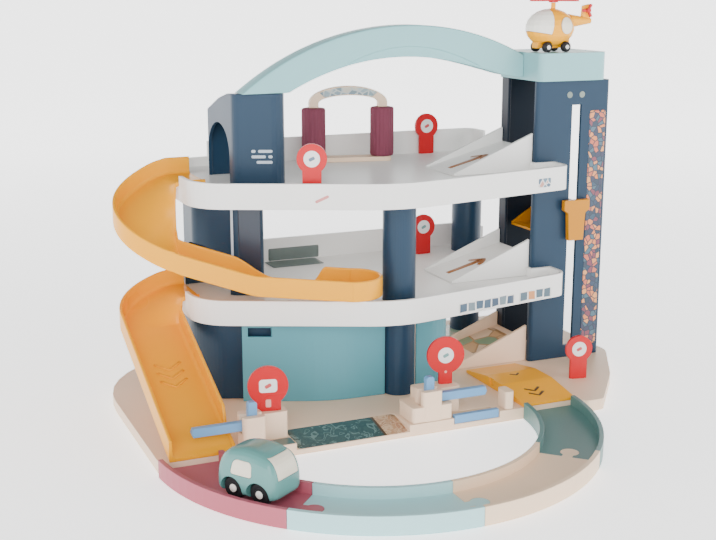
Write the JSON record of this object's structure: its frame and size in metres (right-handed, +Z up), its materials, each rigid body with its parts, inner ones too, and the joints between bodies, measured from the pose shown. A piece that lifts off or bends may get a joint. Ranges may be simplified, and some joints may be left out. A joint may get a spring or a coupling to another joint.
{
  "type": "toy parking garage",
  "caption": "Toy parking garage with decks, curled ramps, a ring road, a lift in a slotted tower, gates, barriers, a car wash, a toy car and a helicopter.",
  "frame": {"origin": "on the ground by the foot of the front pillar, on the base plate's underside", "axes": "+Z up, +X to the right along the lift tower's front, +Y away from the front edge"},
  "size_m": [0.6642, 0.611, 0.4839],
  "materials": {
    "cream": "satin",
    "sky_blue": "semi-gloss",
    "pin_steel": "plain",
    "yellow": "semi-gloss",
    "red": "semi-gloss",
    "white": "semi-gloss",
    "navy": "semi-gloss",
    "pale_blue": "semi-gloss",
    "teal": "semi-gloss",
    "plum": "semi-gloss",
    "green": "semi-gloss",
    "lift_yellow": "semi-gloss",
    "roller_plum": "semi-gloss",
    "car_teal": "semi-gloss",
    "black": "matt"
  },
  "bodies": {
    "garage": {"arch_bridge": "pale_blue", "barrier_block_centre": "cream", "barrier_block_left": "cream", "barrier_pin_centre": "pin_steel", "barrier_pin_left": "pin_steel", "base_lift_wedge": "cream", "base_plate": "cream", "exit_tile": "yellow", "floor_1": "white", "floor_1_lift_wedge": "white", "floor_2": "white", "floor_2_lift_wedge": "white", "front_pillar_lower": "navy", "front_pillar_upper": "navy", "ground_wall_left": "teal", "ground_wall_right": "teal", "helipad": "pale_blue", "lane_post": "cream", "lane_rail": "sky_blue", "left_wall": "navy", "lift_tower_back": "navy", "lift_tower_front": "navy", "lower_ramp": "yellow", "middle_gate": "navy", "rear_left_pillar_lower": "navy", "rear_left_pillar_upper": "navy", "rear_pillar_lower": "navy", "rear_pillar_upper": "navy", "road_blue": "pale_blue", "road_cream": "cream", "road_green": "green", "road_plum": "plum", "sign_1": "red", "sign_2": "red", "sign_3": "red", "sign_4": "red", "sign_5": "red", "sign_6": "red", "top_gate": "navy", "upper_ramp": "yellow", "wash_arch": "cream", "wash_foot": "cream"},
    "lift": {"lift_car": "lift_yellow"},
    "left_barrier": {"barrier_left": "sky_blue"},
    "centre_barrier": {"barrier_centre": "sky_blue"},
    "left_roller": {"wash_roller_left": "roller_plum"},
    "right_roller": {"wash_roller_right": "roller_plum"},
    "car": {"car_body": "car_teal", "car_windows": "cream", "car_windscreen": "cream"},
    "car_front_axle": {"car_front_wheels": "black"},
    "car_rear_axle": {"car_rear_wheels": "black"},
    "helicopter": {"helicopter_body": "yellow", "helicopter_windscreen": "white"},
    "main_rotor": {"helicopter_main_rotor": "red"},
    "tail_rotor": {"helicopter_tail_rotor": "red"},
    "helicopter_front_axle": {"helicopter_front_wheels": "black"},
    "helicopter_rear_axle": {"helicopter_rear_wheels": "black"}
  },
  "joints": [
    {"name": "lift_slide", "type": "slide", "parent": "garage", "child": "lift", "axis": [0, 0, 1], "range_m": [-0.144, 0.109]},
    {"name": "left_barrier_hinge", "type": "hinge", "parent": "garage", "child": "left_barrier", "pos_m": [-0.213, -0.07, 0.039], "axis": [0, 1, 0], "range_deg": [0, 80]},
    {"name": "centre_barrier_hinge", "type": "hinge", "parent": "garage", "child": "centre_barrier", "pos_m": [0.0005, -0.07, 0.039], "axis": [0, -1, 0], "range_deg": [0, 80]},
    {"name": "left_roller_spin", "type": "hinge", "parent": "garage", "child": "left_roller", "pos_m": [-0.00906, 0.26337, 0.3076], "axis": [0, 0, 1], "continuous": true},
    {"name": "right_roller_spin", "type": "hinge", "parent": "garage", "child": "right_roller", "pos_m": [0.08306, 0.24463, 0.3076], "axis": [0, 0, 1], "continuous": true},
    {"name": "car_lift_off", "type": "slide", "parent": "garage", "child": "car", "axis": [0, 0, 1], "range_m": [0, 0.1]},
    {"name": "car_front_axle_spin", "type": "hinge", "parent": "car", "child": "car_front_axle", "pos_m": [-0.23489, -0.19735, 0.0203], "axis": [0.8281, 0.5606, 0], "continuous": true},
    {"name": "car_rear_axle_spin", "type": "hinge", "parent": "car", "child": "car_rear_axle", "pos_m": [-0.25283, -0.17085, 0.0203], "axis": [0.8281, 0.5606, 0], "continuous": true},
    {"name": "helicopter_lift_off", "type": "slide", "parent": "garage", "child": "helicopter", "axis": [0, 0, 1], "range_m": [0, 0.1]},
    {"name": "main_rotor_spin", "type": "hinge", "parent": "helicopter", "child": "main_rotor", "pos_m": [0.248, 0.087, 0.481], "axis": [0, 0, 1], "continuous": true},
    {"name": "tail_rotor_spin", "type": "hinge", "parent": "helicopter", "child": "tail_rotor", "pos_m": [0.29816, 0.08345, 0.4686], "axis": [0.0349, -0.9994, 0], "continuous": true},
    {"name": "helicopter_front_axle_spin", "type": "hinge", "parent": "helicopter", "child": "helicopter_front_axle", "pos_m": [0.23201, 0.08644, 0.4241], "axis": [0.0349, -0.9994, 0], "continuous": true},
    {"name": "helicopter_rear_axle_spin", "type": "hinge", "parent": "helicopter", "child": "helicopter_rear_axle", "pos_m": [0.25999, 0.08742, 0.4241], "axis": [0.0349, -0.9994, 0], "continuous": true}
  ]
}
